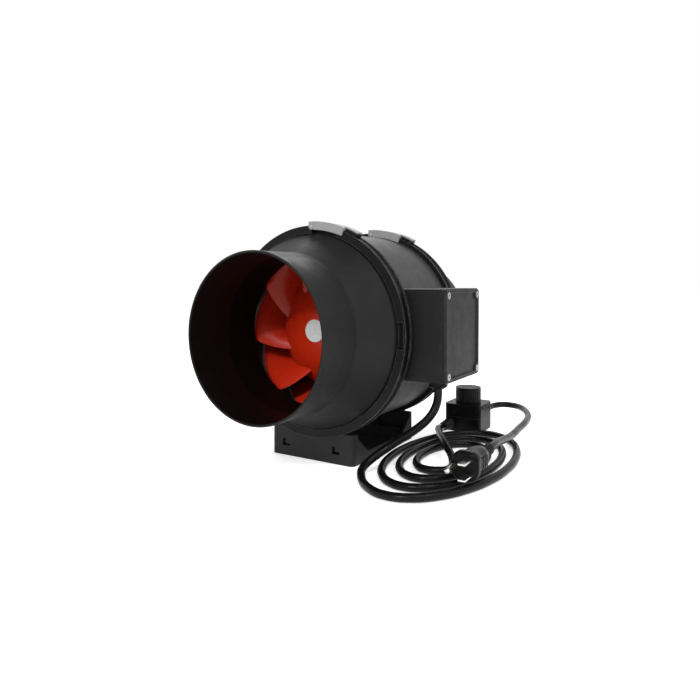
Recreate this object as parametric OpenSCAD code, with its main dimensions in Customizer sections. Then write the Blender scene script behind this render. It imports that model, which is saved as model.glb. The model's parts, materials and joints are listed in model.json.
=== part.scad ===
// Inline mixed-flow duct fan for 150 mm round duct, with a mains cord, a speed controller and a plug.
// The fan axis runs along Y, with the inlet towards -Y. +X is the terminal box side and +Z is up.
// The origin is the middle of the base's underside.

/* [Casings] */
// Outside diameter of the duct collars
collar_d = 149; // [146:0.5:152]
// Wall of the collars and cones
casing_wall = 2.5; // [2:0.5:3]
// Length over both collars
total_len = 300; // [290:1:320]
// Distance from the fan's middle to where each collar meets its cone
collar_start = 101; // [98:1:106]
// Outside radius of the centre casing
centre_r = 97; // [96:0.5:97.5]
// Height of the fan axis above the base's underside
axis_z = 124; // [124:1:130]

/* [Clamp bands] */
// Outside radius of the clamp bands
band_r = 101.8; // [101:0.2:102]
// Distance from the fan's middle to the outer face of each band
band_out = 64; // [64:0.5:65]
// Width of each band along the axis
band_w = 14; // [13:0.5:14]

/* [Mounting base] */
// Width of the base across the axis
base_w = 96; // [90:1:110]
// Length of the base along the axis
base_l = 126; // [124:1:128]
// Height of the base's corners
base_h = 29; // [26:1:30]
// Wall of the base
base_wall = 3; // [2.5:0.5:4]
// Spacing of the mounting holes across the axis
hole_dx = 64; // [50:1:70]
// Spacing of the mounting holes along the axis
hole_dy = 84; // [60:1:90]
// Radius of the mounting holes
hole_r = 2.75; // [2:0.25:3.5]

/* [Impeller] */
// Number of blades
blades = 8; // [6:1:9]
// Blade thickness
blade_t = 2; // [1.5:0.5:3]
// Radius of the label disc on the nose
label_r = 11; // [9:0.5:11]
// Radius of the hub at its rear edge
hub_rear_r = 66; // [62:1:68]
// Number of guide vanes
vanes = 9; // [7:1:13]

/* [Terminal box] */
// Length of the box along the fan axis
box_l = 83; // [78:1:84]
// Height of the box
box_h = 84; // [70:1:88]
// Distance from the fan axis to the box's rim
box_out = 127; // [122:1:132]
// Wall of the box
box_wall = 2.5; // [2:0.5:3]

/* [Controller and plug] */
// Width of the controller
ctrl_w = 42.5; // [40:0.5:46]
// Length of the controller
ctrl_l = 42; // [40:0.5:46]
// Height of the controller's housing
ctrl_h = 31; // [28:1:34]
// Knob diameter
knob_d = 29; // [26:1:32]
// Diameter of both cords
cord_d = 7.5; // [7:0.25:8]

/* [Hidden] */
$fn = 96;

eps = 0.01;
collar_r = collar_d / 2;
bore_r = collar_r - casing_wall;
half_len = total_len / 2;
cone_end = band_out + 3;
cone_r = 93;
flange_r = 99.2;
flange_t = 3;
gasket_t = 1;
band_in = band_out - band_w;
band_mid = band_out - band_w / 2;
centre_bore = centre_r - casing_wall;

// Impeller and shroud
nose_y = -56.5;
hub_rear_y = 5;
hub_dome_l = 62;
hub_power = 2.3;
shroud_y = -61.5;
shroud_in_r = 73;
shroud_out_r = 93;
tip_gap = 1.5;
root_sink = 1.2;
shaft_r = 4;
running_gap = 0.05;
bell_r = 40;
bell_wall = 3;
bell_front = -34;
hub_plate = 2.5;
shaft_front = -50;
bell_rear = 1;
magnet_in_r = 33.8;
stator_r = 33;
tube_r = 14;
bearing_r = 11;
bearing_w = 7;
poles = 12;
vane_ring_r = 92.2;
vane_hub_r = 64;
vane_bend_y = 30;
tail_r = 56;
tail_y = 56;

// Terminal box, where the box's middle lies a little towards the inlet
box_y0 = -46;
box_z0 = 81.5;
lid_t = 5.5;
box_corner_r = 4;
lid_screw_inset = 6;
gland_x = 118;
gland_y = -30;
gland_low = 75;
neck_r = 6.2;
gland_bore_r = 4.8;
seal_z = 76.8;

// Latches: angles run from +X towards +Z round the fan axis
lever_from = 68;
lever_to = 86.8;
lever_in_r = 97.4;
lever_out_r = 105.5;
ear_l = 3.4;
tab_from = 61;
pin_angle = 88.3;
pin_at_r = 101;
pin_r = 1.2;
catch_from = 61.5;
catch_to = 67.5;
split_from = 72;
split_to = 89;

// Cord, controller and plug places
cord_r = cord_d / 2;
ctrl_x = 83.75;
ctrl_y = 137;
knob_y = 137;
knob_h = 17.5;
plug_x = 158;
plug_z = 20.5;
plug_face_y = -69;
plug_len = 38;
plug_w = 24;
boot_len = 20;
front_boot_x = 69;
rear_boot_x = 85;
boot_z = 8;

// The oval coil lies flat, and each turn is a step smaller than the one outside it
coil_x = 116;
coil_ax = 57.5;
coil_ay = 113.5;
coil_step_x = 12.3;
coil_step_y = 25.4;
coil_first = -0.355;
coil_last = 2.75;

// Routes of the cords where they aren't coiled
fall_route = [
    [118, -30, 79], [118, -30.05, 74], [118, -30.3, 69], [117, -32, 60], [113, -37, 50], [105, -42, 41],
    [95, -46, 33], [84, -50, 25], [74, -57, 17], [68, -67, 11], [67, -78, 7], [71, -88, 5], [78, -97, 4]
];
end_route = [
    [116, -43.7, 3.75], [124, -41.5, 4], [129.5, -35, 4.2], [130, -26, 5], [126, -15, 6.5], [120, -4, 8.5],
    [112, 7, 10.5], [104, 19, 12], [96, 32, 12.5], [88, 45, 12.5], [81, 58, 12.5], [74.5, 71, 12],
    [70.5, 84, 9.5], [69, 96, 8], [69, 100, 8]
];
plug_route = [
    [85, 174, 8], [85, 179, 8], [84, 193, 8], [82, 208, 8.5], [81, 222, 9], [84, 234, 9.5], [91, 242, 10],
    [101, 244.5, 10], [111, 241, 10], [120, 232, 10], [127.5, 220, 10], [134, 205, 10.5],
    [140, 188, 11], [144, 170, 11.5], [147, 151, 12], [149, 132, 12.5], [150, 112, 12.5],
    [152, 92, 13], [153, 74, 13.5], [154, 57, 15], [155, 41, 17], [156, 25, 19], [157.5, 9, 20.5],
    [158, -6, 20.5], [158, -10, 20.5]
];

// ---- Shared shapes ----

// Turns a shape drawn round Z so that it lies round the fan axis, with its Z along +Y
module along_y() {
    translate([0, 0, axis_z]) rotate([-90, 0, 0]) children();
}

// Ring round the fan axis between two radii and two places along the axis
module ring_y(r_in, r_out, y0, y1) {
    along_y() rotate_extrude() translate([r_in, y0]) square([r_out - r_in, y1 - y0]);
}

// Part of such a ring between two angles
module arc_y(r_in, r_out, y0, y1, a0, a1) {
    along_y() rotate([0, 0, -a1]) rotate_extrude(angle = a1 - a0)
        translate([r_in, y0]) square([r_out - r_in, y1 - y0]);
}

// Solid cylinder on the fan axis
module rod_y(r, y0, y1) {
    along_y() translate([0, 0, y0]) cylinder(h = y1 - y0, r = r);
}

// Places a shape at a radius and an angle round the fan axis, with its X pointing outwards
module at_angle(r, a) {
    translate([0, 0, axis_z]) rotate([0, -a, 0]) translate([r, 0, 0]) children();
}

// Flat outline with rounded corners, from its middle
module rounded_rect(w, l, r) {
    union() {
        square([w - 2 * r, l], center = true);
        square([w, l - 2 * r], center = true);
        for (sx = [-1, 1], sy = [-1, 1])
            translate([sx * (w / 2 - r), sy * (l / 2 - r)]) circle(r = r, $fn = 32);
    }
}

module rounded_block(w, l, h, r) {
    linear_extrude(height = h) rounded_rect(w, l, r);
}

// Pan-head screw along -Z, with its head's underside at z = 0
module screw(r, len, head_r, head_h) {
    difference() {
        union() {
            translate([0, 0, -len]) cylinder(h = len + eps, r = r, $fn = 32);
            cylinder(h = head_h, r = head_r, $fn = 48);
        }
        for (turn = [0, 90])
            rotate(turn) translate([-head_r * 0.6, -0.4, head_h * 0.45]) cube([head_r * 1.2, 0.8, head_h]);
    }
}

// ---- Swept cord tube ----

function unit(v) = v / norm(v);
function heading(route, i) =
    unit(route[min(i + 1, len(route) - 1)] - route[max(i - 1, 0)]);
function side_of(t) = unit(cross(t, [0, 0, 1]));
function ring_points(route, i, r, n) =
    let (t = heading(route, i), side = side_of(t), up = cross(side, t))
    [for (k = [0:n - 1]) route[i] + r * (cos(360 * k / n) * side + sin(360 * k / n) * up)];

module cord_tube(route, r, n = 10) {
    rings = len(route);
    points = [for (i = [0:rings - 1]) each ring_points(route, i, r, n)];
    walls = [for (i = [0:rings - 2], k = [0:n - 1])
        [i * n + k, (i + 1) * n + k, (i + 1) * n + (k + 1) % n, i * n + (k + 1) % n]];
    first_cap = [for (k = [0:n - 1]) k];
    last_cap = [for (k = [n - 1:-1:0]) (rings - 1) * n + k];
    polyhedron(points, concat([first_cap], walls, [last_cap]), convexity = 6);
}

// ---- Casings ----

// Collar, cone and flange in one shell, for the inlet with dir = -1 and the outlet with dir = 1
module end_casing(dir) {
    flange_y = band_mid + gasket_t / 2;
    color([0.17, 0.17, 0.18]) along_y() rotate_extrude() scale([1, dir]) polygon([
        [bore_r, half_len], [collar_r, half_len], [collar_r, collar_start],
        [cone_r, cone_end], [cone_r, flange_y + flange_t], [flange_r, flange_y + flange_t],
        [flange_r, flange_y], [cone_r - casing_wall, flange_y], [cone_r - casing_wall, cone_end - 1],
        [bore_r, collar_start - 1]
    ]);
}

// Straight tube that carries the air from the inlet collar to the impeller
module inlet_nozzle() {
    seat = casing_wall * (collar_start - cone_end) / (cone_r - casing_wall - bore_r);
    color([0.1, 0.1, 0.1]) along_y() rotate_extrude() polygon([
        [bore_r, 1.1 - collar_start], [collar_r, 1.1 + seat - collar_start],
        [collar_r, shroud_y - 0.5], [bore_r, shroud_y - 0.5]
    ]);
}

module centre_casing() {
    edge = band_mid - gasket_t / 2;
    color([0.33, 0.33, 0.34]) difference() {
        union() {
            ring_y(centre_bore, centre_r, -edge, edge);
            ring_y(centre_bore, flange_r, -edge, flange_t - edge);
            ring_y(centre_bore, flange_r, edge - flange_t, edge);
        }
        // Way through for the motor's leads, inside the terminal box
        translate([centre_bore - 5, 0, axis_z]) rotate([0, 90, 0]) cylinder(h = 10, r = 4);
    }
}

module gasket(dir) {
    color([0.05, 0.05, 0.05])
        ring_y(centre_bore, centre_r, dir * band_mid - gasket_t / 2, dir * band_mid + gasket_t / 2);
}

// ---- Clamp bands and latches, for the front with dir = -1 and the rear with dir = 1 ----

function band_low(dir) = dir < 0 ? -band_out : band_in;
function band_high(dir) = dir < 0 ? -band_in : band_out;
// Each lip's bore follows the casing that it grips: the cone outside, the centre casing inside
function low_lip_r(dir) = dir < 0 ? cone_r + 1.2 : centre_r + 0.4;
function high_lip_r(dir) = dir < 0 ? centre_r + 0.4 : cone_r + 1.2;

module clamp_band(dir) {
    lip_t = 3;
    rim_w = 2.5;
    groove_r = band_r - 1.3;
    web_r = flange_r + 0.2;
    y0 = band_low(dir);
    y1 = band_high(dir);
    color([0.1, 0.1, 0.1]) difference() {
        union() {
            // Channel round both flanges with a grooved outside, open between the latched ends
            along_y() rotate([0, 0, -split_from]) rotate_extrude(angle = 360 - (split_to - split_from))
                polygon([
                    [low_lip_r(dir), y0], [band_r, y0], [band_r, y0 + rim_w], [groove_r, y0 + rim_w],
                    [groove_r, y1 - rim_w], [band_r, y1 - rim_w], [band_r, y1], [high_lip_r(dir), y1],
                    [high_lip_r(dir), y1 - lip_t], [web_r, y1 - lip_t], [web_r, y0 + lip_t],
                    [low_lip_r(dir), y0 + lip_t]
                ]);
            // Barrel that carries the lever's hinge pin
            at_angle(pin_at_r, pin_angle) translate([0, y0 + 1, 0]) rotate([-90, 0, 0])
                cylinder(h = band_w - 2, r = 2.4);
        }
        // Window in the outer lip, level with the axis
        translate([cone_r - 1, dir * (band_out - 1.5) - 2, axis_z - 12])
            cube([flange_r + 0.3 - cone_r + 1, 4, 24]);
        at_angle(pin_at_r, pin_angle) translate([0, y0 - 1, 0]) rotate([-90, 0, 0])
            cylinder(h = band_w + 2, r = pin_r);
        // Hole for the screw that holds the band to the base
        translate([0, dir * band_mid, 0]) cylinder(h = 40, r = 2);
    }
}

module latch_pins() {
    color([0.6, 0.6, 0.62]) for (dir = [-1, 1]) at_angle(pin_at_r, pin_angle)
        translate([0, dir * band_mid, 0]) rotate([90, 0, 0])
            cylinder(h = band_w + 5.2, r = pin_r, center = true);
}

// Curved saddle: a top plate over the band, a skirt each side and a finger tab at its free end
module latch_lever(dir) {
    y0 = band_low(dir);
    y1 = band_high(dir);
    skirt = 2;
    gap = 0.6;
    plate_r = 102.4;
    low = y0 - gap - skirt;
    high = y1 + gap + skirt;
    inset = 0.1;
    color([0.72, 0.72, 0.71]) difference() {
        union() {
            // Channel: a plate over the band and a skirt down each side of it
            along_y() rotate([0, 0, -lever_to]) rotate_extrude(angle = lever_to - lever_from) polygon([
                [lever_in_r, low], [lever_out_r, low], [lever_out_r, high], [lever_in_r, high],
                [lever_in_r, y1 + gap], [plate_r, y1 + gap], [plate_r, y0 - gap], [lever_in_r, y0 - gap]
            ]);
            arc_y(105, 106.2, dir * band_mid - 5, dir * band_mid + 5, tab_from, lever_from + 1);
            // Ears round the hinge pin, rounded below so that they swing clear of the casing
            for (y = [low, y1 + gap]) at_angle(pin_at_r, pin_angle) {
                translate([0, y + inset, -4])
                    cube([lever_out_r - pin_at_r - 0.2, skirt - 2 * inset, 3.8 + ear_l]);
                translate([0, y + inset / 2, 0]) rotate([-90, 0, 0])
                    cylinder(h = skirt - inset, r = ear_l);
            }
        }
        at_angle(pin_at_r, pin_angle) translate([0, y0 - 4, 0]) rotate([-90, 0, 0])
            cylinder(h = band_w + 8, r = pin_r + running_gap);
    }
}

module latch_catch(dir) {
    color([0.06, 0.06, 0.06])
        arc_y(band_r, 104.7, band_low(dir), band_high(dir), catch_from, catch_to);
}

// ---- Mounting base ----

module mounting_base() {
    color([0.12, 0.12, 0.12]) difference() {
        union() {
            difference() {
                rounded_block(base_w, base_l, base_h, 5);
                translate([0, 0, base_wall]) base_cavity();
            }
            // Pillars under the bands and saddle ribs under the centre casing
            for (y = [-band_mid, band_mid]) translate([0, y, 0]) cylinder(h = base_h, r = 6);
            for (y = [-46.5, 46.5])
                translate([-base_w / 2 + 1, y - 1.5, 1]) cube([base_w - 2, 3, 12]);
        }
        // Cradle for the bands
        rod_y(band_r + 0.2, -base_l, base_l);
        side_windows();
        for (x = [-1, 1], y = [-1, 1])
            translate([x * hole_dx / 2, y * hole_dy / 2, -1]) cylinder(h = base_h, r = hole_r);
        for (y = [-band_mid, band_mid]) translate([0, y, -1]) {
            cylinder(h = base_h, r = 2);
            cylinder(h = 4, r = 4.2);
        }
        for (x = [-34.5, 23.8]) clip_slot(x);
    }
}

module base_cavity() {
    rounded_block(base_w - 2 * base_wall, base_l - 2 * base_wall, base_h, 3);
}

// Openings in the side walls, wide at the top
module side_windows() {
    translate([-base_w, 0, 0]) rotate([90, 0, 90]) linear_extrude(height = 2 * base_w) polygon([
        [-36, 9], [36, 9], [55, 25], [55, base_h + 1], [-55, base_h + 1], [-55, 25]
    ]);
}

// Small L-shaped slot in the front wall
module clip_slot(x) {
    translate([x, -base_l / 2 - 1, 9]) {
        cube([3.4, base_wall + 2, 7.5]);
        cube([8.8, base_wall + 2, 2.6]);
    }
}

module base_screws() {
    color([0.7, 0.7, 0.72]) for (y = [-band_mid, band_mid])
        translate([0, y, 3]) mirror([0, 0, 1]) screw(2, 21.4, 3.8, 2.2);
}

// ---- Impeller ----

// The hub is a blunt dome, and the shroud opens out quickly behind the nozzle
function hub_r(y) = hub_rear_r * pow(1 - pow((hub_rear_y - y) / hub_dome_l, hub_power), 1 / hub_power);
function shroud_r(y) = shroud_in_r
    + (shroud_out_r - shroud_in_r) * sqrt(max(0, min(1, (y - shroud_y) / -shroud_y)));

module impeller_shroud() {
    inner = [for (i = [0:12]) let (y = shroud_y * (1 - i / 12)) [shroud_r(y), y]];
    outer = [for (i = [12:-1:0]) let (y = shroud_y * (1 - i / 12)) [min(shroud_r(y) + 2, centre_bore), y]];
    color([0.2, 0.2, 0.21]) union() {
        along_y() rotate_extrude() polygon(concat(inner, outer));
        ring_y(shroud_r(-24) + 1, centre_bore, -26, -23);
    }
}

// One point of a blade: u runs from the leading to the trailing edge, v from root to tip
function blade_angle(u, v) = 209.5 - 19 * v - (62 + 5 * v) * u;
function blade_front(v) = -46 - 10 * v;
function blade_y(u, v) = blade_front(v) + (1 - blade_front(v)) * pow(u, 2.2 - 0.45 * v);
function blade_r(u, v) = let (y = blade_y(u, v))
    (hub_r(y) - root_sink) * (1 - v) + (shroud_r(y) - tip_gap) * v;
function blade_point(u, v, side) =
    let (r = blade_r(u, v), a = blade_angle(u, v) + side * 0.7 * blade_t / r * 180 / PI)
    [r * cos(a), blade_y(u, v), axis_z + r * sin(a)];

module impeller_blade() {
    nu = 9;
    nv = 5;
    step = nv + 1;
    layer = (nu + 1) * step;
    points = [for (side = [-0.5, 0.5], i = [0:nu], j = [0:nv]) blade_point(i / nu, j / nv, side)];
    skins = [for (i = [0:nu - 1], j = [0:nv - 1]) let (a = i * step + j) each [
        [a, a + 1, a + step + 1], [a, a + step + 1, a + step],
        [layer + a, layer + a + step + 1, layer + a + 1], [layer + a, layer + a + step, layer + a + step + 1]
    ]];
    root_and_tip = [for (i = [0:nu - 1], j = [0, nv]) let (a = i * step + j) each (j == 0
        ? [[a, a + step, layer + a + step], [a, layer + a + step, layer + a]]
        : [[a, layer + a + step, a + step], [a, layer + a, layer + a + step]])];
    edges = [for (i = [0, nu], j = [0:nv - 1]) let (a = i * step + j) each (i == 0
        ? [[a, layer + a + 1, a + 1], [a, layer + a, layer + a + 1]]
        : [[a, a + 1, layer + a + 1], [a, layer + a + 1, layer + a]])];
    polyhedron(points, concat(skins, root_and_tip, edges), convexity = 4);
}

hub_steps = 14;
hub_outline = [for (i = [0:hub_steps])
    let (y = nose_y + (hub_rear_y - nose_y) * pow(i / hub_steps, 1.6)) [hub_r(y), y]];

module impeller_hub() {
    wall = 2.5;
    inner = [for (i = [hub_steps:-1:1])
        [hub_outline[i][0] - wall * 1.1, hub_outline[i][1] + (i == hub_steps ? 0 : wall * 0.6)]];
    nose = [[hub_outline[0][0] - 2, nose_y + wall], [0, nose_y + wall]];
    color([0.72, 0.1, 0.04]) difference() {
        union() {
            along_y() rotate_extrude() polygon(concat([[0, nose_y]], hub_outline, inner, nose));
            rod_y(9, nose_y + 1, bell_front);
            rod_y(bell_r, bell_front - hub_plate, bell_front);
        }
        rod_y(shaft_r, shaft_front, bell_front + 1);
        for (a = [30:120:270]) at_angle(24, a) translate([0, bell_front + 1, 0])
            rotate([90, 0, 0]) cylinder(h = hub_plate + 2, r = 1.6, $fn = 24);
    }
}

// Blades that stand on the hub, each cut to the hub's surface
module impeller_blades() {
    color([0.72, 0.1, 0.04]) difference() {
        for (i = [0:blades - 1])
            translate([0, 0, axis_z]) rotate([0, -360 / blades * i, 0]) translate([0, 0, -axis_z])
                impeller_blade();
        along_y() rotate_extrude() polygon(concat([[0, nose_y]], hub_outline, [[0, hub_rear_y]]));
    }
}

module nose_label() {
    color([0.93, 0.93, 0.93]) rod_y(label_r, nose_y - 0.5, nose_y);
}

// ---- Motor ----

module impeller_screws() {
    color([0.7, 0.7, 0.72]) for (a = [30:120:270])
        at_angle(24, a) translate([0, bell_front - hub_plate, 0]) rotate([90, 0, 0]) screw(1.6, 5, 2.8, 1.6);
}

module shaft() {
    color([0.75, 0.75, 0.77]) rod_y(shaft_r, shaft_front, 7);
}

module rotor_bell() {
    color([0.5, 0.5, 0.52]) difference() {
        rod_y(bell_r, bell_front, bell_rear);
        rod_y(bell_r - bell_wall, bell_front + bell_wall, bell_rear + 1);
        rod_y(shaft_r, bell_front - 1, bell_rear);
        for (a = [30:120:270]) at_angle(24, a) translate([0, bell_front + bell_wall, 0])
            rotate([90, 0, 0]) cylinder(h = bell_wall + 1, r = 1.6, $fn = 24);
    }
}

module rotor_magnets() {
    color([0.22, 0.22, 0.23]) ring_y(magnet_in_r, bell_r - bell_wall, -28, bell_rear);
}

module bearing_tube() {
    color([0.62, 0.63, 0.65]) difference() {
        union() {
            rod_y(tube_r, -28, 9);
            rod_y(24, 5, 9);
        }
        rod_y(9.5, -29, 10);
        rod_y(bearing_r, -29, -20);
        rod_y(bearing_r, 0, 10);
        for (a = [0:90:270]) at_angle(19, a) rotate([90, 0, 0]) cylinder(h = 40, r = 1.6, center = true);
    }
}

module bearing(y) {
    color([0.8, 0.8, 0.82]) ring_y(shaft_r + running_gap, bearing_r, y, y + bearing_w);
}

module stator_core() {
    color([0.45, 0.46, 0.48]) union() {
        ring_y(tube_r, 19, -24, 0);
        for (i = [0:poles - 1]) {
            at_angle(18.5, 360 / poles * i) translate([0, -24, -2]) cube([12, 24, 4]);
            arc_y(30, stator_r, -24, 0, 360 / poles * i - 12, 360 / poles * i + 12);
        }
    }
}

module stator_windings() {
    color([0.72, 0.4, 0.2]) for (i = [0:poles - 1])
        at_angle(20, 360 / poles * i) difference() {
            translate([0.5, -26, -3.2]) cube([8.5, 28, 6.4]);
            translate([-1, -24, -2]) cube([12, 24, 4]);
        }
}

module motor_screws() {
    color([0.7, 0.7, 0.72]) for (a = [0:90:270])
        at_angle(19, a) translate([0, 5, 0]) rotate([90, 0, 0]) screw(1.6, 8, 2.8, 1.6);
}

// Fixed guide vanes between an outer ring and a hub shell, which narrows towards the tail
module vane_ring() {
    color([0.15, 0.15, 0.16]) ring_y(vane_ring_r, centre_bore, 1, 54);
}

module vane_hub() {
    wall = 2.5;
    color([0.15, 0.15, 0.16]) difference() {
        along_y() rotate_extrude() polygon([
            [tube_r, 9], [vane_hub_r, 9], [vane_hub_r, vane_bend_y], [tail_r, tail_y],
            [tail_r - wall, tail_y], [vane_hub_r - wall, vane_bend_y - 0.5], [vane_hub_r - wall, 12],
            [tube_r, 12]
        ]);
        for (a = [0:90:270]) at_angle(19, a) rotate([90, 0, 0]) cylinder(h = 40, r = 1.6, center = true);
    }
}

module guide_vanes() {
    vane_end = 50;
    vane_t = 2.4;
    end_r = vane_hub_r - (vane_hub_r - tail_r) * (vane_end - vane_bend_y) / (tail_y - vane_bend_y);
    color([0.15, 0.15, 0.16]) intersection() {
        for (i = [0:vanes - 1])
            at_angle(0, 360 / vanes * i + 10) translate([tail_r, 0, -vane_t / 2])
                cube([centre_r - tail_r, tail_y, vane_t]);
        along_y() rotate_extrude() polygon([
            [vane_hub_r, 12], [vane_ring_r, 12], [vane_ring_r, vane_end], [end_r, vane_end],
            [vane_hub_r, vane_bend_y]
        ]);
    }
}

// Hollow dome behind the motor
module tail_cone() {
    wall = 2.5;
    depth = 34;
    function dome(less) = [for (a = [0:10:90]) [(tail_r - less) * cos(a), tail_y + (depth - less) * sin(a)]];
    outer = dome(0);
    inner = dome(wall);
    color([0.15, 0.15, 0.16]) along_y() rotate_extrude()
        polygon(concat(outer, [for (i = [len(inner) - 1:-1:0]) inner[i]]));
}

// ---- Terminal box ----

// Turns a shape drawn round Z so that its Z points along +X, centred on the box
module on_box(x) {
    translate([x, box_y0 + box_l / 2, box_z0 + box_h / 2]) rotate([90, 0, 90]) children();
}

module at_lid_screws() {
    for (sy = [-1, 1], sz = [-1, 1])
        translate([sy * (box_l / 2 - lid_screw_inset), sz * (box_h / 2 - lid_screw_inset), 0]) children();
}

module terminal_box() {
    inner_l = box_l - 2 * box_wall;
    inner_h = box_h - 2 * box_wall;
    color([0.1, 0.1, 0.1]) difference() {
        union() {
            difference() {
                on_box(80) rounded_block(box_l, box_h, box_out - 80 - 0.8, 3);
                difference() {
                    on_box(80) rounded_block(inner_l, inner_h, box_out, 2);
                    rod_y(centre_r + box_wall, -base_l, base_l);
                }
            }
            on_box(95) at_lid_screws() cylinder(h = box_out - 95 - 0.8, r = 5);
        }
        rod_y(centre_r, -base_l, base_l);
        on_box(box_out - 12) at_lid_screws() cylinder(h = 20, r = 1.6);
        translate([gland_x, gland_y, box_z0 - 1]) cylinder(h = 5, r = 6);
        // Room for the gland's lock nut beside the screw post
        translate([gland_x, gland_y, box_z0 + box_wall]) cylinder(h = 6, r = 8.3);
        translate([centre_r - 10, 0, axis_z]) rotate([0, 90, 0]) cylinder(h = 20, r = 4);
    }
}

module lid_gasket() {
    color([0.04, 0.04, 0.04]) on_box(box_out - 0.8) difference() {
        rounded_block(box_l - 1.6, box_h - 1.6, 0.8, 3);
        translate([0, 0, -1]) rounded_block(box_l - 2 * box_wall, box_h - 2 * box_wall, 3, 2);
        at_lid_screws() translate([0, 0, -1]) cylinder(h = 3, r = 1.7);
    }
}

module terminal_lid() {
    border = 3;
    color([0.3, 0.3, 0.31]) on_box(box_out) difference() {
        union() {
            rounded_block(box_l, box_h, lid_t - 1.4, box_corner_r);
            translate([0, 0, lid_t - 2]) difference() {
                rounded_block(box_l - 2, box_h - 2, 2, box_corner_r);
                rounded_block(box_l - 2 - 2 * border, box_h - 2 - 2 * border, 3, box_corner_r - 1);
            }
            at_lid_screws() cylinder(h = lid_t, r = 4.6);
        }
        at_lid_screws() {
            translate([0, 0, -1]) cylinder(h = lid_t + 2, r = 1.6);
            translate([0, 0, lid_t - 1.2]) cylinder(h = 2, r = 3.1);
        }
    }
}

module lid_screws() {
    color([0.78, 0.78, 0.8]) on_box(box_out + lid_t - 1.2) at_lid_screws() screw(1.6, 14, 3.1, 1.5);
}

module terminal_block() {
    color([0.85, 0.85, 0.8]) difference() {
        translate([101, -28, 92]) cube([13, 22, 24]);
        for (y = [-24, -17, -10], z = [97, 111])
            translate([110, y, z]) rotate([0, 90, 0]) cylinder(h = 10, r = 2.2);
    }
}

module run_capacitor() {
    color([0.88, 0.88, 0.86]) translate([113, 18, 100]) cylinder(h = 46, r = 11.5);
}

// ---- Cable gland ----

module gland_body() {
    color([0.06, 0.06, 0.06]) translate([gland_x, gland_y, 0]) difference() {
        union() {
            translate([0, 0, box_z0 - 2]) cylinder(h = 2, r = 9, $fn = 6);
            translate([0, 0, box_z0 - 4.5]) cylinder(h = 4.5, r = neck_r);
            translate([0, 0, box_z0]) cylinder(h = 7, r = 6);
        }
        translate([0, 0, box_z0 - 6]) cylinder(h = 14, r = gland_bore_r);
    }
}

module gland_nut() {
    dome_h = 2.5;
    color([0.05, 0.05, 0.05]) translate([gland_x, gland_y, 0]) difference() {
        union() {
            translate([0, 0, gland_low + dome_h]) cylinder(h = 1.9, r = 8.5);
            translate([0, 0, gland_low]) cylinder(h = dome_h, r1 = 5.5, r2 = 8.5);
        }
        translate([0, 0, seal_z]) cylinder(h = 4, r = neck_r);
        translate([0, 0, gland_low - 1]) cylinder(h = 4, r = cord_r);
    }
}

// Sleeve that the nut presses into the gland's bore round the cord
module gland_seal() {
    color([0.12, 0.12, 0.12]) translate([gland_x, gland_y, seal_z]) difference() {
        cylinder(h = 5, r = gland_bore_r);
        translate([0, 0, -1]) cylinder(h = 7, r = cord_r);
    }
}

module gland_locknut() {
    color([0.08, 0.08, 0.08]) translate([gland_x, gland_y, box_z0 + box_wall]) difference() {
        cylinder(h = 3, r = 8, $fn = 6);
        translate([0, 0, -1]) cylinder(h = 5, r = 6);
    }
}

// ---- Cords ----

function coil_point(s, grow) = let (
        ax = coil_ax - coil_step_x * s + grow,
        ay = coil_ay - coil_step_y * s + grow)
    [coil_x + ax * cos(360 * s), ay * sin(360 * s)];

module fan_cord() {
    color([0.09, 0.09, 0.09]) cord_tube(fall_route, cord_r);
}

// Closed outline of the coil: one turn along its outer edge less one turn along its inner edge
module fan_cord_coil() {
    per_turn = 40;
    outer = [for (i = [0:per_turn - 1]) coil_point(coil_first + i / per_turn, cord_r)];
    inner = [for (i = [0:per_turn - 1]) coil_point(coil_last - 1 + i / per_turn, -cord_r)];
    color([0.09, 0.09, 0.09]) linear_extrude(height = cord_d) difference() {
        polygon(outer);
        polygon(inner);
    }
}

module fan_cord_end() {
    color([0.09, 0.09, 0.09]) cord_tube(end_route, cord_r);
}

module plug_cord() {
    color([0.09, 0.09, 0.09]) cord_tube(plug_route, cord_r);
}

// ---- Speed controller ----

module controller_block(z, h) {
    translate([ctrl_x, ctrl_y, z]) rounded_block(ctrl_w, ctrl_l, h, 5);
}

module controller_cavity(z, h) {
    translate([ctrl_x, ctrl_y, z]) rounded_block(ctrl_w - 5, ctrl_l - 5, h, 3);
}

module at_controller_screws() {
    for (x = [-14.5, 14.5], y = [-14.5, 14.5]) translate([ctrl_x + x, ctrl_y + y, 0]) children();
}

module controller_lower() {
    color([0.08, 0.08, 0.08]) difference() {
        union() {
            difference() {
                controller_block(0, 16);
                controller_cavity(2.5, 20);
            }
            at_controller_screws() cylinder(h = 16, r = 3.4);
        }
        at_controller_screws() translate([0, 0, -1]) {
            cylinder(h = 20, r = 1.5);
            cylinder(h = 3, r = 2.9);
        }
        for (end = [[front_boot_x, ctrl_y - ctrl_l / 2 - 1], [rear_boot_x, ctrl_y + ctrl_l / 2 - 3]])
            translate([end[0], end[1], boot_z]) rotate([-90, 0, 0]) cylinder(h = 4, r = 4.5);
    }
}

module controller_upper() {
    color([0.1, 0.1, 0.1]) difference() {
        union() {
            difference() {
                controller_block(16, ctrl_h - 16);
                controller_cavity(15, ctrl_h - 17.5);
            }
            at_controller_screws() translate([0, 0, 16]) cylinder(h = 12.6, r = 3.4);
        }
        at_controller_screws() translate([0, 0, 15]) cylinder(h = 9, r = 1.5);
        translate([ctrl_x, knob_y, 20]) cylinder(h = 20, r = 4.5);
    }
}

module controller_screws() {
    color([0.7, 0.7, 0.72]) at_controller_screws() translate([0, 0, 2]) mirror([0, 0, 1])
        screw(1.5, 19, 2.7, 1.6);
}

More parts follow.
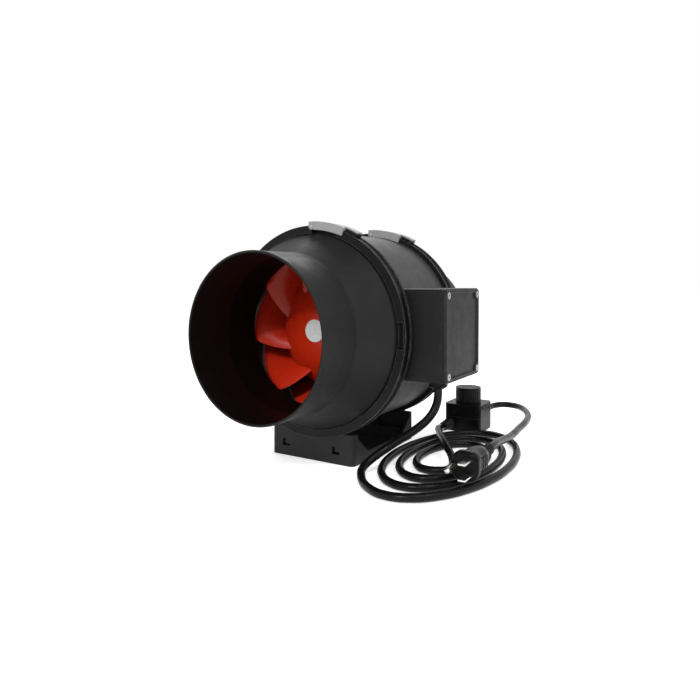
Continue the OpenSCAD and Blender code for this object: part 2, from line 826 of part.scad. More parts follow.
module controller_board() {
    color([0.1, 0.35, 0.18]) translate([ctrl_x - 10.5, ctrl_y - 18, 11]) cube([21, 36, 1.6]);
}

module speed_control() {
    color([0.35, 0.36, 0.38]) translate([ctrl_x, knob_y, 0]) difference() {
        union() {
            translate([0, 0, 12.6]) cylinder(h = 15.9, r = 9);
            translate([0, 0, 12.6]) cylinder(h = 18.9, r = 4.5);
        }
        translate([0, 0, 18]) cylinder(h = 20, r = 3 + running_gap);
    }
}

module knob_spindle() {
    color([0.75, 0.75, 0.76]) translate([ctrl_x, knob_y, 18.2]) cylinder(h = 25.2, r = 3);
}

module speed_knob() {
    flutes = 30;
    color([0.05, 0.05, 0.05]) translate([ctrl_x, knob_y, ctrl_h + 0.6]) difference() {
        cylinder(h = knob_h - 0.6, r = knob_d / 2);
        for (i = [0:flutes - 1]) rotate(360 / flutes * i)
            translate([knob_d / 2 + 0.6, 0, -1]) cylinder(h = knob_h - 3, r = 1, $fn = 24);
        translate([0, 0, -1]) cylinder(h = 13.2, r = 3);
        difference() {
            translate([0, 0, -1]) cylinder(h = 8, r = knob_d / 2 - 2.5);
            translate([0, 0, -2]) cylinder(h = 10, r = 5);
        }
        // Pointer groove
        translate([-0.6, 3, knob_h - 1.2]) cube([1.2, knob_d / 2, 2]);
    }
}

// Tapered strain relief that points along dir = -1 or 1, from a housing's face
module controller_boot(x, face, dir) {
    color([0.16, 0.16, 0.16]) translate([x, face, boot_z]) rotate([-90 * dir, 0, 0]) difference() {
        union() {
            cylinder(h = boot_len, r1 = 6.5, r2 = 4.9);
            translate([0, 0, -2.5]) cylinder(h = 3, r = 4.5);
        }
        translate([0, 0, boot_len - 5]) cylinder(h = 6, r = cord_r);
    }
}

// ---- Plug ----

module along_plug(y) {
    translate([plug_x, y, plug_z]) rotate([-90, 0, 0]) children();
}

module plug_body() {
    color([0.09, 0.09, 0.09]) along_plug(plug_face_y) union() {
        rounded_block(plug_w, plug_w, 10, 6);
        translate([0, 0, 10]) rounded_block(plug_w - 4, plug_w - 4, plug_len - 10, 7);
    }
}

module plug_boot() {
    color([0.12, 0.12, 0.12]) along_plug(plug_face_y + plug_len) difference() {
        cylinder(h = 25, r1 = 7, r2 = 4.9);
        translate([0, 0, 20]) cylinder(h = 6, r = cord_r);
    }
}

// Two flat blades 12.7 mm apart, one above the other
module plug_blades() {
    color([0.8, 0.8, 0.8]) for (side = [-1, 1])
        translate([plug_x + 0.8, plug_face_y - 17, plug_z + side * 6.35 - 0.75]) cube([6.4, 17, 1.5]);
}

module plug_ground_pin() {
    color([0.8, 0.8, 0.8]) translate([plug_x - 7.9, plug_face_y, plug_z]) rotate([90, 0, 0]) union() {
        cylinder(h = 17, r = 2.4);
        translate([0, 0, 17]) sphere(r = 2.4);
    }
}

end_casing(-1);  // inlet_casing
inlet_nozzle();
end_casing(1);  // outlet_casing
centre_casing();
gasket(-1);  // front_gasket
gasket(1);  // rear_gasket
clamp_band(-1);  // front_clamp_band
clamp_band(1);  // rear_clamp_band
latch_lever(-1);  // front_latch_lever
latch_lever(1);  // rear_latch_lever
latch_catch(-1);  // front_latch_catch
latch_catch(1);  // rear_latch_catch
latch_pins();
mounting_base();
base_screws();
impeller_shroud();
vane_ring();
guide_vanes();
vane_hub();
tail_cone();
impeller_hub();
impeller_blades();
nose_label();
impeller_screws();
shaft();
rotor_bell();
rotor_magnets();
bearing_tube();
bearing(-27);  // front_bearing
bearing(0);  // rear_bearing
stator_core();
stator_windings();
motor_screws();
terminal_box();
terminal_lid();
lid_gasket();
lid_screws();
terminal_block();
run_capacitor();
gland_body();
gland_nut();
gland_seal();
gland_locknut();
fan_cord();
fan_cord_coil();
fan_cord_end();
controller_lower();
controller_upper();
controller_board();
controller_screws();
speed_control();
knob_spindle();
speed_knob();
controller_boot(front_boot_x, ctrl_y - ctrl_l / 2, -1);  // controller_front_boot
controller_boot(rear_boot_x, ctrl_y + ctrl_l / 2, 1);  // controller_rear_boot
plug_cord();
plug_body();
plug_boot();
plug_blades();
plug_ground_pin();
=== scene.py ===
import json
import math

import bmesh
import bpy
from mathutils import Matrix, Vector


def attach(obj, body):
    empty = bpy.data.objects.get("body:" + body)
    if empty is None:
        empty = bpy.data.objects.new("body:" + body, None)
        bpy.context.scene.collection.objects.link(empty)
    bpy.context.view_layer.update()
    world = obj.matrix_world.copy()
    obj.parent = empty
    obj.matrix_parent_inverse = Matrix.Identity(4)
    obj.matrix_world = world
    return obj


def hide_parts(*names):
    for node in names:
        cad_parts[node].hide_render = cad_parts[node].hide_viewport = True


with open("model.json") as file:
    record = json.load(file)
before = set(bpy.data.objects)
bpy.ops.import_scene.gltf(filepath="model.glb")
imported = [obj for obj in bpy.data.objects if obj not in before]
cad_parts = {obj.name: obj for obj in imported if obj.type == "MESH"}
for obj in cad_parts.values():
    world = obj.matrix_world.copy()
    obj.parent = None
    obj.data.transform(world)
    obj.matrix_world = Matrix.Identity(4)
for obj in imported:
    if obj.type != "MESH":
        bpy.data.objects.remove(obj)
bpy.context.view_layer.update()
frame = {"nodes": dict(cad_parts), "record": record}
scene = bpy.context.scene
MM = 0.001
AXIS_Z = 124 * MM  # height of the fan axis
TAU = 2 * math.pi


# ---- Camera ----

CAMERA_PLACE = (0.3366, -0.5345, 0.1721)
CAMERA_TURN, CAMERA_DOWN = math.radians(31.8), math.radians(0.8)
LENS_MM, SENSOR_MM, SHIFT_Y = 30.9, 36, -0.086


def make_camera():
    data = bpy.data.cameras.new("camera")
    cam = bpy.data.objects.new("camera", data)
    scene.collection.objects.link(cam)
    cam.location = CAMERA_PLACE
    cam.rotation_euler = (math.pi / 2 - CAMERA_DOWN, 0, CAMERA_TURN)
    data.sensor_width = SENSOR_MM
    data.lens = LENS_MM
    data.shift_y = SHIFT_Y
    data.clip_start = 0.01
    data.clip_end = 50
    scene.camera = cam


make_camera()


# ---- Cord routes, in metres ----

CORD_D = 7.5 * MM

FALL_ROUTE = [
    (0.118, -0.030, 0.079), (0.118, -0.03005, 0.074), (0.118, -0.0303, 0.069), (0.117, -0.032, 0.060),
    (0.113, -0.037, 0.050), (0.105, -0.042, 0.041), (0.095, -0.046, 0.033), (0.084, -0.050, 0.025),
    (0.074, -0.057, 0.017), (0.068, -0.067, 0.011), (0.067, -0.078, 0.007), (0.071, -0.088, 0.005),
    (0.078, -0.097, 0.004),
]
END_ROUTE = [
    (0.116, -0.0437, 0.00375), (0.124, -0.0415, 0.004), (0.1295, -0.035, 0.0042), (0.130, -0.026, 0.005),
    (0.126, -0.015, 0.0065), (0.120, -0.004, 0.0085), (0.112, 0.007, 0.0105), (0.104, 0.019, 0.012),
    (0.096, 0.032, 0.0125), (0.088, 0.045, 0.0125), (0.081, 0.058, 0.0125), (0.0745, 0.071, 0.012),
    (0.0705, 0.084, 0.0095), (0.069, 0.096, 0.008), (0.069, 0.100, 0.008),
]
PLUG_ROUTE = [
    (0.085, 0.174, 0.008), (0.085, 0.179, 0.008), (0.084, 0.193, 0.008), (0.082, 0.208, 0.0085),
    (0.081, 0.222, 0.009), (0.084, 0.234, 0.0095), (0.091, 0.242, 0.010), (0.101, 0.2445, 0.010),
    (0.111, 0.241, 0.010), (0.120, 0.232, 0.010), (0.1275, 0.220, 0.010), (0.134, 0.205, 0.0105),
    (0.140, 0.188, 0.011), (0.144, 0.170, 0.0115), (0.147, 0.151, 0.012), (0.149, 0.132, 0.0125),
    (0.150, 0.112, 0.0125), (0.152, 0.092, 0.013), (0.153, 0.074, 0.0135), (0.154, 0.057, 0.015),
    (0.155, 0.041, 0.017), (0.156, 0.025, 0.019), (0.1575, 0.009, 0.0205), (0.158, -0.006, 0.0205),
    (0.158, -0.010, 0.0205),
]


COIL_X = 0.116  # middle of the coil; its Y is 0
COIL_START, COIL_END = -0.355, 2.75  # where the cord joins and leaves the coil, in turns
COIL_HALF_X, STEP_X = 57.5, 12.3  # half size at turn 0 and what each turn takes off it, in millimetres
COIL_HALF_Y, STEP_Y = 113.5, 25.4
KNOTS_PER_TURN = 20


def coil_route():
    """The flat oval coil: each turn is a step smaller than the one outside it."""
    turns = COIL_END - COIL_START
    count = round(turns * KNOTS_PER_TURN)
    points = []
    for i in range(1, count):
        s = COIL_START + turns * i / count
        half_x, half_y = (COIL_HALF_X - STEP_X * s) * MM, (COIL_HALF_Y - STEP_Y * s) * MM
        points.append((COIL_X + half_x * math.cos(TAU * s), half_y * math.sin(TAU * s), CORD_D / 2))
    return points


def cord_curve(name, points):
    """Smooth round cord through the points, as one open curve.

    The bevel is 1 and each knot's radius is the cord's, so that the curve's bounds are true."""
    data = bpy.data.curves.new(name, "CURVE")
    data.dimensions = "3D"
    data.resolution_u = 6
    data.bevel_depth = 1.0
    data.bevel_resolution = 5
    data.use_fill_caps = True
    spline = data.splines.new("BEZIER")
    spline.bezier_points.add(len(points) - 1)
    for knot, point in zip(spline.bezier_points, points):
        knot.co = point
        knot.radius = CORD_D / 2
        knot.handle_left_type = "AUTO"
        knot.handle_right_type = "AUTO"
    piece = bpy.data.objects.new(name, data)
    scene.collection.objects.link(piece)
    return piece


def make_cords():
    lead = cord_curve("fan_lead", FALL_ROUTE[:-1] + coil_route() + END_ROUTE[1:])
    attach(lead, "housing")
    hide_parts("fan_cord", "fan_cord_coil", "fan_cord_end")
    plug_lead = cord_curve("plug_lead", PLUG_ROUTE)
    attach(plug_lead, "housing")
    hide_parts("plug_cord")
    return lead, plug_lead


lead, plug_lead = make_cords()


# ---- Materials ----

def new_material(name, colour, rough, metallic=0.0, coat=0.0, specular=0.5):
    """A Principled material. What is the same all over the surface is set on the shader itself."""
    mat = bpy.data.materials.new(name)
    mat.use_nodes = True
    shader = mat.node_tree.nodes["Principled BSDF"]
    shader.inputs["Base Color"].default_value = (*colour, 1)
    shader.inputs["Roughness"].default_value = rough
    shader.inputs["Metallic"].default_value = metallic
    shader.inputs["Coat Weight"].default_value = coat
    shader.inputs["Coat Roughness"].default_value = 0.12
    shader.inputs["Specular IOR Level"].default_value = specular
    return mat


def noise(tree, coords, scale, detail=3.0, rough=0.55):
    node = tree.nodes.new("ShaderNodeTexNoise")
    node.inputs["Scale"].default_value = scale
    node.inputs["Detail"].default_value = detail
    node.inputs["Roughness"].default_value = rough
    tree.links.new(coords, node.inputs["Vector"])
    return node.outputs["Fac"]


def ranged(tree, value, low, high, from_low=0.3, from_high=0.7):
    """The value moved from one range into another, clamped."""
    node = tree.nodes.new("ShaderNodeMapRange")
    for name, number in (("From Min", from_low), ("From Max", from_high), ("To Min", low), ("To Max", high)):
        node.inputs[name].default_value = number
    tree.links.new(value, node.inputs["Value"])
    return node.outputs["Result"]


def mixed(tree, factor, first, second):
    """A colour between two others; each of them is a colour or another node's output."""
    node = tree.nodes.new("ShaderNodeMix")
    node.data_type = "RGBA"
    tree.links.new(factor, node.inputs["Factor"])
    for socket, value in ((node.inputs[6], first), (node.inputs[7], second)):
        if isinstance(value, tuple):
            socket.default_value = (*value, 1)
        else:
            tree.links.new(value, socket)
    return node.outputs[2]


def scaled(colour, amount):
    return tuple(min(1.0, c * amount) for c in colour)


def edge_mask(tree, coords, radius):
    """Up to 1 on sharp edges and 0 elsewhere, broken up so that the lighter edges, partly wear and partly
    painted highlight, look uneven.
    """
    bevel = tree.nodes.new("ShaderNodeBevel")
    bevel.samples = 4
    bevel.inputs["Radius"].default_value = radius
    geometry = tree.nodes.new("ShaderNodeNewGeometry")
    dot = tree.nodes.new("ShaderNodeVectorMath")
    dot.operation = "DOT_PRODUCT"
    tree.links.new(bevel.outputs["Normal"], dot.inputs[0])
    tree.links.new(geometry.outputs["Normal"], dot.inputs[1])
    edge = ranged(tree, dot.outputs["Value"], 1.0, 0.0, 0.86, 0.985)
    patch = ranged(tree, noise(tree, coords, 140), 0.25, 1.0)
    both = tree.nodes.new("ShaderNodeMath")
    both.operation = "MULTIPLY"
    tree.links.new(edge, both.inputs[0])
    tree.links.new(patch, both.inputs[1])
    return both.outputs["Value"]


def plastic(name, colour, rough, grain=1100, bump=0.12, mottle=0.14, edge_wear_and_highlight=0.5, coat=0.0, specular=0.5):
    """Moulded plastic: fine spark-eroded grain, faint flow mottling and lighter edges, partly rubbed wear
    and partly painted highlight.
    """
    mat = new_material(name, colour, rough, coat=coat, specular=specular)
    tree = mat.node_tree
    shader = tree.nodes["Principled BSDF"]
    coords = tree.nodes.new("ShaderNodeTexCoord").outputs["Object"]
    broad = noise(tree, coords, 22, 4)
    fine = noise(tree, coords, grain, 2)
    body = mixed(tree, ranged(tree, broad, 0, 1), scaled(colour, 1 - mottle), scaled(colour, 1 + mottle))
    body = mixed(tree, ranged(tree, fine, 0, 0.35), body, scaled(colour, 1.5))
    # Lighter edges: partly rubbed wear, partly painted highlight
    if edge_wear_and_highlight:
        rubbed_and_highlit = tuple(0.55 * c + 0.16 * edge_wear_and_highlight for c in colour)
        body = mixed(tree, edge_mask(tree, coords, 0.0007), body, rubbed_and_highlit)
    tree.links.new(body, shader.inputs["Base Color"])
    smear = noise(tree, coords, 65, 5, 0.65)
    tree.links.new(ranged(tree, smear, rough - 0.07, rough + 0.09), shader.inputs["Roughness"])
    relief = tree.nodes.new("ShaderNodeBump")
    relief.inputs["Strength"].default_value = bump
    relief.inputs["Distance"].default_value = 0.0003
    tree.links.new(fine, relief.inputs["Height"])
    tree.links.new(relief.outputs["Normal"], shader.inputs["Normal"])
    return mat


def axis_distance(tree, along):
    """Distance from the fan's middle along its axis, or from the axis itself."""
    coords = tree.nodes.new("ShaderNodeTexCoord").outputs["Object"]
    shift = tree.nodes.new("ShaderNodeMapping")
    shift.inputs["Location"].default_value = (0, 0, 0) if along else (0, 0, -AXIS_Z)
    shift.inputs["Scale"].default_value = (0, 1, 0) if along else (1, 0, 1)
    tree.links.new(coords, shift.inputs["Vector"])
    length = tree.nodes.new("ShaderNodeVectorMath")
    length.operation = "LENGTH"
    tree.links.new(shift.outputs["Vector"], length.inputs[0])
    return length.outputs["Value"]


DARKEN_BLEND = 0.3  # half the width of a change of colour, in millimetres


def darken(mat, colour, steps):
    """Another colour inside, between or outside some distances.

    Each step is (along the axis or not, distance in mm, share before it, share after it), and the
    shares of all the steps are multiplied."""
    tree = mat.node_tree
    target = tree.nodes["Principled BSDF"].inputs["Base Color"]
    share = None
    for along, place, before, after in steps:
        low, high = (place - DARKEN_BLEND) * MM, (place + DARKEN_BLEND) * MM
        part = ranged(tree, axis_distance(tree, along), before, after, low, high)
        if share is None:
            share = part
            continue
        both = tree.nodes.new("ShaderNodeMath")
        both.operation = "MULTIPLY"
        tree.links.new(share, both.inputs[0])
        tree.links.new(part, both.inputs[1])
        share = both.outputs["Value"]
    tree.links.new(mixed(tree, share, target.links[0].from_socket, colour), target)


def metal(name, colour, rough, stretch=(1, 1, 1), grain=900, bump=0.08):
    """Turned, drawn or plated metal with fine marks, which change fastest along the largest stretch."""
    mat = new_material(name, colour, rough, metallic=1.0)
    tree = mat.node_tree
    shader = tree.nodes["Principled BSDF"]
    coords = tree.nodes.new("ShaderNodeTexCoord").outputs["Object"]
    mapping = tree.nodes.new("ShaderNodeMapping")
    mapping.inputs["Scale"].default_value = stretch
    tree.links.new(coords, mapping.inputs["Vector"])
    marks = noise(tree, mapping.outputs["Vector"], grain, 4)
    body = mixed(tree, ranged(tree, marks, 0, 1), scaled(colour, 0.8), scaled(colour, 1.1))
    tree.links.new(body, shader.inputs["Base Color"])
    tree.links.new(ranged(tree, marks, rough - 0.08, rough + 0.12), shader.inputs["Roughness"])
    relief = tree.nodes.new("ShaderNodeBump")
    relief.inputs["Strength"].default_value = bump
    relief.inputs["Distance"].default_value = 0.0002
    tree.links.new(marks, relief.inputs["Height"])
    tree.links.new(relief.outputs["Normal"], shader.inputs["Normal"])
    return mat


CASING = plastic("casing_plastic", (0.0096, 0.0096, 0.01), 0.5, edge_wear_and_highlight=0.4, specular=0.14)
INLET = plastic("inlet_plastic", (0.0096, 0.0096, 0.01), 0.5, edge_wear_and_highlight=0.6, specular=0.13)
# Painted shade with a painted red reflection: near black with a red cast inside the collar (under 73 mm from
# the axis), standing in for the duct's shade and the impeller's red light
darken(INLET, (0.0016, 0.0007, 0.0006), ((False, 73, 1, 0),))
# Painted shade: nearly black beyond 94.6 mm from the axis, where the flange shows through the clamp band's
# window
darken(INLET, (0.0006, 0.0006, 0.0006), ((False, 94.6, 0, 1),))
# Painted shade with a painted red reflection, for the nozzle tube deep in the duct
INNER_SHADE = plastic("inner_painted_shade", (0.0016, 0.0008, 0.0007), 0.55, edge_wear_and_highlight=0.0, specular=0.05)
CENTRE = plastic("centre_plastic", (0.036, 0.036, 0.037), 0.48, edge_wear_and_highlight=0.22, specular=0.22)
BLACK = plastic("black_plastic", (0.0035, 0.0035, 0.0037), 0.42, edge_wear_and_highlight=0.45, specular=0.1)
# Full edge lightening: painted highlight on the band's lip rims, partly wear
BAND = plastic("band_plastic", (0.0062, 0.0062, 0.0065), 0.45, edge_wear_and_highlight=1.0, specular=0.13)
# Painted shade: nearly black in the band's channel between its lips, 52.7 to 61.3 mm from the middle and
# inside 100.8 mm
darken(BAND, (0.0012, 0.0012, 0.0012), ((True, 52.7, 0, 1), (True, 61.3, 1, 0), (False, 100.8, 1, 0)))
BASE = plastic("base_plastic", (0.0145, 0.0145, 0.015), 0.55, bump=0.2, edge_wear_and_highlight=0.25, specular=0.16)
BOX = plastic("box_plastic", (0.0075, 0.0075, 0.008), 0.45, edge_wear_and_highlight=0.3, specular=0.17)
LID = plastic("lid_plastic", (0.0115, 0.0115, 0.012), 0.45, edge_wear_and_highlight=0.6, specular=0.1)
LEVER = plastic("lever_plastic", (0.25, 0.25, 0.247), 0.42, mottle=0.05, edge_wear_and_highlight=0.4, specular=0.3)
RED = plastic("impeller_plastic", (0.31, 0.0125, 0.003), 0.3, bump=0.02, mottle=0.06, edge_wear_and_highlight=0.0, coat=0.08,
              specular=0.16)
CONTROLLER = plastic("controller_plastic", (0.0038, 0.0038, 0.004), 0.26, edge_wear_and_highlight=0.35, specular=0.08)
KNOB = plastic("knob_plastic", (0.003, 0.003, 0.0032), 0.4, edge_wear_and_highlight=0.3, specular=0.12)
# Lighter than the casing plastic so that the vanes and tail cone show in the dark outlet: painted light
VANE_PAINTED_LIGHT = plastic("vane_painted_light", (0.022, 0.022, 0.023), 0.45, edge_wear_and_highlight=0.1, specular=0.25)
RUBBER = plastic("soft_rubber", (0.004, 0.004, 0.004), 0.55, grain=700, bump=0.25, edge_wear_and_highlight=0.1, specular=0.2)
JACKET = plastic("cord_jacket", (0.003, 0.003, 0.003), 0.3, grain=500, bump=0.08, edge_wear_and_highlight=0.0, specular=0.15)
WHITE = plastic("terminal_plastic", (0.74, 0.73, 0.68), 0.4, edge_wear_and_highlight=0.0)
BOARD = plastic("board", (0.01, 0.10, 0.04), 0.35, edge_wear_and_highlight=0.0)
FOIL = plastic("label_foil", (0.43, 0.435, 0.43), 0.34, grain=300, bump=0.06, mottle=0.05, edge_wear_and_highlight=0.0)
FERRITE = plastic("ferrite", (0.05, 0.05, 0.055), 0.6, edge_wear_and_highlight=0.2)
ZINC = metal("zinc_screw", (0.42, 0.42, 0.43), 0.34)
STEEL = metal("turned_steel", (0.56, 0.56, 0.58), 0.32, (1, 12, 1))
STACK = metal("laminations", (0.32, 0.33, 0.35), 0.45, (0.2, 14, 0.2), 600)
ALLOY = metal("cast_alloy", (0.6, 0.61, 0.63), 0.42)
COPPER = metal("copper_wire", (0.72, 0.33, 0.14), 0.3, (1, 10, 1), 500, 0.3)
NICKEL = metal("nickel_plate", (0.7, 0.69, 0.66), 0.22)


# ---- Building pieces ----

def finish_mesh(piece, mat, body, nodes, sharp=32):
    """Shades a mesh smooth with sharp creases, paints it, ties it to its body and hides the CAD nodes that
    it stands in for.
    """
    mesh = piece.data
    bm = bmesh.new()
    bm.from_mesh(mesh)
    bmesh.ops.recalc_face_normals(bm, faces=bm.faces)
    for face in bm.faces:
        face.smooth = True
        face.material_index = 0
    for edge in bm.edges:
        edge.smooth = len(edge.link_faces) == 2 and edge.calc_face_angle() < math.radians(sharp)
    bm.to_mesh(mesh)
    bm.free()
    mesh.materials.clear()
    mesh.materials.append(mat)
    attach(piece, body)
    if nodes:
        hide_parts(*nodes)


def piece_from(name, verts, faces):
    mesh = bpy.data.meshes.new(name)
    mesh.from_pydata(verts, [], faces)
    piece = bpy.data.objects.new(name, mesh)
    scene.collection.objects.link(piece)
    return piece


def body_of(node):
    for name, members in frame["record"]["behaviour"]["bodies"].items():
        if node in members:
            return name
    return "housing"


WELD, FLAT_ANGLE, EDGE_ANGLE = 0.000002, math.radians(0.6), math.radians(30)


def refine(node, mat, width):
    """Shows the node's own shape with its edges rounded, as moulded and machined edges are."""
    mesh = frame["nodes"][node].data.copy()
    mesh.name = node + "_detail"
    bm = bmesh.new()
    bm.from_mesh(mesh)
    bmesh.ops.remove_doubles(bm, verts=bm.verts, dist=WELD)
    bmesh.ops.dissolve_limit(bm, angle_limit=FLAT_ANGLE, verts=bm.verts, edges=bm.edges)
    edges = [e for e in bm.edges if len(e.link_faces) == 2 and e.calc_face_angle() > EDGE_ANGLE]
    bmesh.ops.bevel(bm, geom=edges, offset=width, offset_type="OFFSET", segments=2, profile=0.6,
                    affect="EDGES", clamp_overlap=True)
    bm.to_mesh(mesh)
    bm.free()
    piece = bpy.data.objects.new(node + "_detail", mesh)
    scene.collection.objects.link(piece)
    normals = piece.modifiers.new("normals", "WEIGHTED_NORMAL")
    normals.keep_sharp = True
    finish_mesh(piece, mat, body_of(node), [node])


def fillet(profile, radius, steps=4):
    """Rounds each corner of a closed outline; a corner is (x, y) or (x, y, its own radius)."""
    out = []
    count = len(profile)
    for i in range(count):
        corner = Vector(profile[i][:2])
        before = Vector(profile[i - 1][:2])
        after = Vector(profile[(i + 1) % count][:2])
        r = profile[i][2] if len(profile[i]) > 2 else radius
        to_before, to_after = (before - corner), (after - corner)
        turn = math.pi - to_before.angle(to_after)
        cut = r * math.tan(turn / 2)
        cut = min(cut, to_before.length * 0.48, to_after.length * 0.48)
        if r <= 0 or cut < 1e-7 or turn < math.radians(4):
            out.append(tuple(corner))
            continue
        a, b = corner + to_before.normalized() * cut, corner + to_after.normalized() * cut
        for k in range(steps + 1):
            t = k / steps
            out.append(tuple((1 - t) ** 2 * a + 2 * t * (1 - t) * corner + t * t * b))
    return out


def ring_faces(around, count):
    """Faces between closed outlines of count points that stand in a closed ring."""
    faces = []
    for i in range(around):
        j = (i + 1) % around
        for k in range(count):
            n = (k + 1) % count
            faces.append((i * count + k, j * count + k, j * count + n, i * count + n))
    return faces


def lathed(name, profile, around=192):
    """Solid of revolution round the fan axis from a closed outline of (radius, y) in metres."""
    verts = []
    for i in range(around):
        a = TAU * i / around
        verts += [(r * math.cos(a), y, AXIS_Z + r * math.sin(a)) for r, y in profile]
    return piece_from(name, verts, ring_faces(around, len(profile)))


def in_mm(profile):
    return [tuple(v * MM for v in point) for point in profile]


# ---- Casings ----

INLET_END, OUTLET_END = -1, 1  # which way along Y
SHELL_OUTLINE = (  # radius, distance from the fan's middle and corner radius, in millimetres
    (72, 150, 0.9), (74.5, 150, 0.9), (74.5, 101, 6), (93, 67, 2), (93, 60.5, 0), (99.2, 60.5, 0.4),
    (99.2, 57.5, 0.4), (90.5, 57.5, 0.4), (90.5, 66, 2), (72, 100, 4),
)
SEAM_ANGLE = 47  # above the horizontal, on the terminal box's side


def make_shell(name, end, mat, node):
    """Collar, cone and flange at one end of the fan."""
    outline = fillet(in_mm([(r, end * y, corner) for r, y, corner in SHELL_OUTLINE]), 0)
    finish_mesh(lathed(name, outline, 256), mat, "housing", [node])


def make_casings():
    make_shell("inlet_shell", INLET_END, INLET, "inlet_casing")
    nozzle = lathed("inlet_nozzle_tube", in_mm([(72, -99.9), (74.5, -95.3), (74.5, -62), (72, -62)]))
    finish_mesh(nozzle, INNER_SHADE, "housing", ["inlet_nozzle"])
    make_seam("inlet_seam", INLET_END)
    make_shell("outlet_shell", OUTLET_END, CASING, "outlet_casing")
    make_seam("outlet_seam", OUTLET_END)


def make_seam(name, end):
    """Low moulded parting ridge along a cone, from the collar's shoulder to the clamp band."""
    a = math.radians(SEAM_ANGLE)
    out = Vector((math.cos(a), 0, math.sin(a)))
    side = Vector((-math.sin(a), 0, math.cos(a)))
    verts, faces = [], []
    steps = 8
    for i in range(steps + 1):
        t = i / steps
        r, y = (75.3 + 17.3 * t) * MM, end * (99.5 - 32 * t) * MM
        base = out * r + Vector((0, y, AXIS_Z))
        lift, half = out * 0.35 * MM, side * 0.45 * MM
        verts += [base - half - lift * 2, base + lift, base + half - lift * 2]
    for i in range(steps):
        k = i * 3
        faces += [(k, k + 1, k + 4, k + 3), (k + 1, k + 2, k + 5, k + 4), (k + 2, k, k + 3, k + 5)]
    faces += [(0, 2, 1), (steps * 3, steps * 3 + 1, steps * 3 + 2)]
    finish_mesh(piece_from(name, verts, faces), CASING, "housing", [])


# ---- Impeller ----

# Millimetres, along Y and outwards from the fan axis
NOSE_Y, REAR_Y, SHROUD_Y = -56.5, 5.0, -61.5
HUB_R, DOME_L, DOME_POWER = 66.0, 62.0, 2.3
SHROUD_R, SHROUD_SPREAD = 73, 20
CAP_Y = -46.5  # where the hub's cap meets its bladed part
BLADES, BLADE_THICK = 8, 2.1


def hub_radius(y):
    inside = 1 - max(0.0, (REAR_Y - y) / DOME_L) ** DOME_POWER
    return HUB_R * max(0.0, inside) ** (1 / DOME_POWER)


def shroud_radius(y):
    return SHROUD_R + SHROUD_SPREAD * math.sqrt(max(0.0, min(1.0, (y - SHROUD_Y) / -SHROUD_Y)))


def blade_point(u, v, side, thick):
    """u runs from the leading to the trailing edge and v from root to tip, in millimetres."""
    front = -46 - 10 * v
    y = front + (1 - front) * u ** (2.2 - 0.45 * v)
    r = (hub_radius(y) - 1.2) * (1 - v) + (shroud_radius(y) - 1.5) * v
    r -= 4 * max(0.0, 1 - u / 0.12) ** 2 * v ** 6  # rounded corner at the tip
    a = math.radians(209.5 - 19 * v - (62 + 5 * v) * u) + side * 0.7 * thick / r
    return Vector((r * math.cos(a), y, r * math.sin(a)))


def blade_mesh(turn, verts, faces):
    """Adds one blade, turned round the fan axis, to the lists. It thins towards its two long edges."""
    along, up = 36, 16
    start = len(verts)
    for side in (-0.5, 0.5):
        for i in range(along + 1):
            u = 0.5 - 0.5 * math.cos(math.pi * i / along)
            thick = BLADE_THICK * min(1.0, 0.25 + 5 * math.sqrt(max(0.0, u * (1 - u))))
            for j in range(up + 1):
                p = blade_point(u, j / up, side, thick)
                c, s = math.cos(turn), math.sin(turn)
                verts.append((MM * (p.x * c - p.z * s), MM * p.y, AXIS_Z + MM * (p.x * s + p.z * c)))
    step, layer = up + 1, (along + 1) * (up + 1)
    for i in range(along):
        for j in range(up):
            a = start + i * step + j
            faces.append((a, a + 1, a + step + 1, a + step))
            faces.append((layer + a, layer + a + step, layer + a + step + 1, layer + a + 1))
        for j in (0, up):
            a = start + i * step + j
            faces.append((a, a + step, layer + a + step, layer + a))
    for i in (0, along):
        for j in range(up):
            a = start + i * step + j
            faces.append((a, a + 1, layer + a + 1, layer + a))


def hub_outline():
    """Front of the hub, with a narrow groove where its cap meets the bladed part."""
    count = 40
    places = [NOSE_Y + (REAR_Y - NOSE_Y) * (i / count) ** 1.7 for i in range(count + 1)]
    places = [y for y in places if abs(y - CAP_Y) > 0.6]
    outline = [(hub_radius(y), y) for y in places]
    outline += [(hub_radius(CAP_Y + d) - sink, CAP_Y + d) for d, sink in (
        (-0.55, 0), (-0.25, 1.1), (0.25, 1.1), (0.55, 0))]
    return sorted(outline, key=lambda point: point[1])


def make_impeller():
    outer = hub_outline()
    inner = [(hub_radius(y) - 2.75, min(y + 1.5, REAR_Y)) for r, y in outer if y > -53]
    profile = [(0.01, NOSE_Y)] + outer + inner[::-1] + [
        (9, NOSE_Y + 4), (9, -36.5), (40, -36.5), (40, -34), (4, -34), (4, -50), (0.01, -50)]
    hub = lathed("impeller_hub_domed", in_mm(profile))
    finish_mesh(hub, RED, "rotor", ["impeller_hub"], sharp=40)
    verts, faces = [], []
    for k in range(BLADES):
        blade_mesh(TAU * k / BLADES, verts, faces)
    blades = piece_from("impeller_blades_curved", verts, faces)
    finish_mesh(blades, RED, "rotor", ["impeller_blades"], sharp=50)
    label = lathed("nose_foil", in_mm(fillet([
        (0.01, -57, 0), (8.9, -57, 0), (9.0, -56.92, 0), (9.3, -56.92, 0), (9.4, -57, 0), (11, -57, 0.2),
        (11, -56.5, 0), (0.01, -56.5, 0)], 0)), 96)
    finish_mesh(label, FOIL, "rotor", ["nose_label"])


# ---- Round pieces on the cords ----

